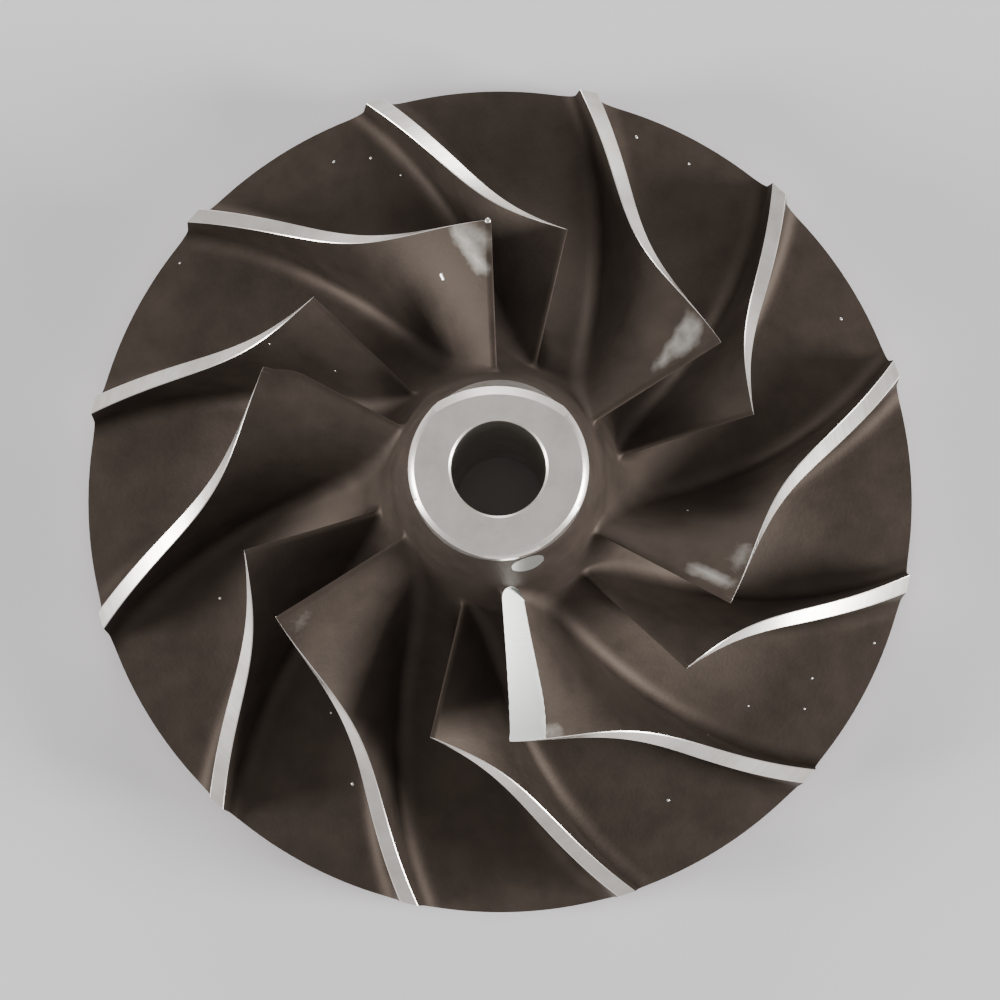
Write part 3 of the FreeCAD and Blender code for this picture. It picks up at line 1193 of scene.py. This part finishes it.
def srgb(colour: Triple) -> tuple[float, float, float, float]:
    """Linear colour of 8-bit display values."""
    shares = [value / 255 for value in colour]
    return *(share / 12.92 if share <= 0.04045 else ((share + 0.055) / 1.055) ** 2.4
             for share in shares), 1.0


@dataclass(frozen=True)
class NoiseGroup:
    """A shared shader group that turns a place on the wheel into noise masks.

    A layer names an output and gives its noise a scale and a detail. Folded noise depends on
    radius and height alone, so it runs in rings about the axis.
    """

    name: str
    layers: tuple[tuple[str, float, float], ...]
    roughness: float
    folded: bool = False

    def tree(self) -> bpy.types.NodeTree:
        """The group, built on the first call."""
        if self.name in bpy.data.node_groups:
            return bpy.data.node_groups[self.name]
        outputs = {layer[0]: "Float" for layer in self.layers}
        sheet, given, result = NodeSheet.group("Shader", self.name, {"Place": "Vector"}, outputs)
        place = given["Place"]
        if self.folded:
            axes = sheet.add("ShaderNodeSeparateXYZ", {0: place}).outputs
            flat = sheet.add("ShaderNodeCombineXYZ", {"X": axes["X"], "Y": axes["Y"]})
            radius = sheet.add("ShaderNodeVectorMath", {0: flat}, operation="LENGTH")
            place = sheet.add("ShaderNodeCombineXYZ", {"X": radius.outputs["Value"], "Y": axes["Z"]})
        for output, scale, detail in self.layers:
            noise = sheet.add("ShaderNodeTexNoise", {"Vector": place, "Scale": scale,
                                                     "Detail": detail, "Roughness": self.roughness})
            sheet.feed(result, {output: noise})
        return sheet.tree

    def masks(self, sheet: NodeSheet) -> Any:
        """Add the group to a material and return its outputs."""
        place = sheet.add("ShaderNodeTexCoord").outputs["Object"]
        return sheet.add("ShaderNodeGroup", {"Place": place}, node_tree=self.tree()).outputs


CAST_GRAIN = NoiseGroup("cast_grain", (("Height", 3200.0, 3.0), ("Patches", 420.0, 6.0),
                                       ("Wear", 2600.0, 5.0)), 0.6)
TURNING_MARKS = NoiseGroup("turning_marks", (("Rings", 9000.0, 2.0),), 0.5, folded=True)


@dataclass(frozen=True)
class Finish:
    """A material with one principled shader."""

    name: str
    metallic: float = 0.0

    def material(self) -> bpy.types.Material:
        """Build the material."""
        material = bpy.data.materials.new(self.name)
        material.use_nodes = True
        sheet = NodeSheet(material.node_tree)
        shader = sheet.tree.nodes["Principled BSDF"]
        sheet.feed(shader, {"Metallic": self.metallic, **self.surface(sheet)})
        return material

    def surface(self, sheet: NodeSheet) -> Feeds:
        """What else feeds the principled shader, by the names of its inputs."""
        raise NotImplementedError


@dataclass(frozen=True)
class CastSkin(Finish):
    """Dull brown-grey cast skin, rubbed bright where it is scuffed."""

    name: str = "cast_skin"
    metallic: float = 0.75
    bump: Pair = (0.35, 0.00004)
    colours: tuple[Triple, Triple] = ((66, 57, 50), (79, 69, 61))
    colour_ends: Pair = (0.32, 0.68)
    roughness: Pair = (0.54, 0.70)
    rubbed: Triple = (176, 172, 165)
    raggedness: float = 0.35
    rub_ends: Pair = (0.28, 1.35)

    def surface(self, sheet: NodeSheet) -> Feeds:
        """Patchy tint and gloss, with the rubbed metal blended in by a ragged mask."""
        grain = CAST_GRAIN.masks(sheet)
        scuff = sheet.add("ShaderNodeAttribute", attribute_name=RUB_MARK).outputs["Fac"]
        ragged = sheet.math("MULTIPLY_ADD", grain["Wear"], self.raggedness, scuff)
        blend = sheet.add("ShaderNodeMix", data_type="RGBA")
        sheet.feed(blend, {"Factor": sheet.stretch(ragged, "From", self.rub_ends),
                           "A": sheet.tint(grain["Patches"], self.colour_ends, self.colours),
                           "B": srgb(self.rubbed)})
        return {"Base Color": blend.outputs["Result"],
                "Roughness": sheet.stretch(grain["Patches"], "To", self.roughness),
                "Normal": sheet.relief(grain["Height"], self.bump)}


@dataclass(frozen=True)
class TurnedSkin(Finish):
    """Bright turned aluminium with fine rings about the axis."""

    name: str = "turned_aluminium"
    metallic: float = 1.0
    bump: Pair = (0.25, 0.00001)
    colours: tuple[Triple, Triple] = ((224, 217, 208), (240, 235, 228))
    colour_ends: Pair = (0.35, 0.6)
    roughness: Pair = (0.24, 0.42)

    def surface(self, sheet: NodeSheet) -> Feeds:
        """Slightly patchy bright metal whose gloss and relief follow the rings."""
        grain, rings = CAST_GRAIN.masks(sheet), TURNING_MARKS.masks(sheet)["Rings"]
        return {"Base Color": sheet.tint(grain["Patches"], self.colour_ends, self.colours),
                "Roughness": sheet.stretch(rings, "To", self.roughness),
                "Normal": sheet.relief(rings, self.bump)}


@dataclass(frozen=True)
class GroundSkin(Finish):
    """Pale satin metal with straight scratches, as a grinding wheel leaves it."""

    name: str = "ground_aluminium"
    metallic: float = 1.0
    bump: Pair = (0.3, 0.00001)
    colour: Triple = (206, 208, 204)
    roughness: float = 0.45
    scratches: Triple = (900.0, 9000.0, 900.0)

    def surface(self, sheet: NodeSheet) -> Feeds:
        """One colour with a relief of stretched noise."""
        place = sheet.add("ShaderNodeTexCoord").outputs["Object"]
        scratched = sheet.add("ShaderNodeMapping", {"Vector": place, "Scale": self.scratches})
        noise = sheet.add("ShaderNodeTexNoise", {"Vector": scratched, "Scale": 1.0, "Detail": 2.0})
        return {"Base Color": srgb(self.colour), "Roughness": self.roughness,
                "Normal": sheet.relief(noise, self.bump)}


@dataclass(frozen=True)
class PaperFloor(Finish):
    """Pale matt sheet under the wheel."""

    name: str = "pale_sheet"
    colour: Triple = (222, 219, 221)
    roughness: float = 0.9

    def surface(self, sheet: NodeSheet) -> Feeds:
        """One plain colour."""
        return {"Base Color": srgb(self.colour), "Roughness": self.roughness}


# ---- Studio ----


@dataclass(frozen=True)
class SoftLight:
    """A soft light: its bearing and rise in degrees as the wheel sees it, and its power."""

    name: str
    bearing: float
    rise: float
    power: float


@dataclass
class Studio:
    """Floor, soft lights and the camera, which looks down the wheel's axis from nearly overhead."""

    section: WheelSection = WheelSection()
    tilt: float = 4.6
    roll: float = -0.22
    distance: float = 281.0
    sensor: float = 36.0
    lens: float = 138.85
    aim: Pair = (-0.007, 0.117)
    near_limit: float = 0.01
    floor_size: float = 3.0
    floor_gap: float = 0.0002
    light_distance: float = 0.8
    light_size: Pair = (0.32, 0.26)
    soft_lights: tuple[SoftLight, ...] = (SoftLight("soft_left", 188.0, 17.0, 8.0),
                                          SoftLight("soft_right", -11.0, 17.0, 11.0),
                                          SoftLight("soft_far", 92.0, 15.0, 3.0))
    sky: Triple = (0.88, 0.87, 0.88)
    sky_strength: float = 0.66

    def build(self) -> None:
        """Make everything round the wheel."""
        self.floor()
        self.camera()
        self.lights()
        self.world()

    def floor(self) -> None:
        """Pale floor just under the wheel."""
        half = self.floor_size / 2
        mesh = bpy.data.meshes.new("studio_floor")
        corners = [(-half, -half, 0), (half, -half, 0), (half, half, 0), (-half, half, 0)]
        mesh.from_pydata(corners, [], [(0, 1, 2, 3)])
        mesh.materials.append(PaperFloor().material())
        floor = put_in_scene("studio_floor", mesh)
        floor.location.z = -self.floor_gap

    def camera(self) -> None:
        """Camera some way above the wheel, tilted a little off its axis."""
        turn = (Matrix.Rotation(math.radians(self.roll), 3, "Y")
                @ Matrix.Rotation(math.radians(-self.tilt), 3, "X"))
        to_wheel = turn.transposed()
        place = to_wheel @ Vector((-self.aim[0], -self.aim[1], self.distance))
        place.z += self.section.disc_height
        data = bpy.data.cameras.new("camera")
        data.sensor_width = self.sensor
        data.lens = self.lens
        data.clip_start = self.near_limit
        camera = put_in_scene("camera", data)
        camera.matrix_world = Matrix.Translation(place * MM) @ to_wheel.to_4x4()
        bpy.context.scene.camera = camera

    def lights(self) -> None:
        """Two soft lights low on the left and the right, and a weak one at the far side."""
        for soft in self.soft_lights:
            rise = math.radians(soft.rise)
            place = Vector(polar(self.light_distance * math.cos(rise), soft.bearing,
                                 self.light_distance * math.sin(rise)))
            data = bpy.data.lights.new(soft.name, "AREA")
            data.shape = "RECTANGLE"
            data.size, data.size_y = self.light_size
            data.energy = soft.power
            light = put_in_scene(soft.name, data)
            light.location = place
            light.rotation_euler = (-place).to_track_quat("-Z", "Z").to_euler()

    def world(self) -> None:
        """Even pale surroundings."""
        world = bpy.data.worlds.new("studio_world")
        bpy.context.scene.world = world
        world.use_nodes = True
        NodeSheet(world.node_tree).feed(world.node_tree.nodes["Background"],
                                        {"Color": (*self.sky, 1), "Strength": self.sky_strength})


# ---- The wheel ----


@dataclass
class CompressorWheel:
    """The whole casting, from its contours to its finished surfaces."""

    section: WheelSection = WheelSection()
    law: BladeLaw = BladeLaw()
    crisp_angle: float = 32.0

    def build(self) -> None:
        """Make the wheel, attach it to the root body and hide the imported part that it replaces."""
        cast, turned, ground = (skin().material() for skin in (CastSkin, TurnedSkin, GroundSkin))
        full = Blade(self.section, self.law, 1.0)
        splitter = Blade(self.section, self.law, self.law.splitter_share)
        wheel = TurnedBody(self.section, self.law, full, splitter).build("wheel_casting")
        ring = BladeRing(self.law.full_blades)
        ring.weld_on(wheel, full.build("full_blade"), splitter.build("splitter_blade"), cast, turned)
        report_mesh("welded", wheel.data)
        damage = Damage(self.section, self.law, full)
        damage.bend_corner(wheel)
        Balancing(self.section, self.law).cut(wheel, turned, ground)
        damage.mark_rubs(wheel)
        PipScatter().scatter(wheel, damage.pip_seeds(wheel), turned)
        self.smooth(wheel.data)
        report_mesh("finished", wheel.data)
        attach(wheel, BODY)
        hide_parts(NODE)

    def smooth(self, mesh: bpy.types.Mesh) -> None:
        """Shade smooth, with crisp edges where surfaces meet at an angle."""
        mesh.polygons.foreach_set("use_smooth", [True] * len(mesh.polygons))
        mesh.set_sharp_from_angle(angle=math.radians(self.crisp_angle))
        mesh.update()


def report_mesh(stage: str, mesh: bpy.types.Mesh) -> None:
    """Log a mesh's size, whether it is closed, and its finishes."""
    with opened(mesh) as work:
        loose = sum(len(edge.link_faces) != 2 for edge in work.edges)
        triangles = sum(len(face.verts) - 2 for face in work.faces)
        volume = work.calc_volume(signed=True) / MM ** 3
    finishes = [finish and finish.name for finish in mesh.materials]
    LOG.info("%s: %d triangles, %d open edges, %.0f mm3, %s", stage, triangles, loose, volume, finishes)


def main() -> None:
    """Build the wheel and its studio."""
    CompressorWheel().build()
    Studio().build()


if __name__ == "__main__":
    main()
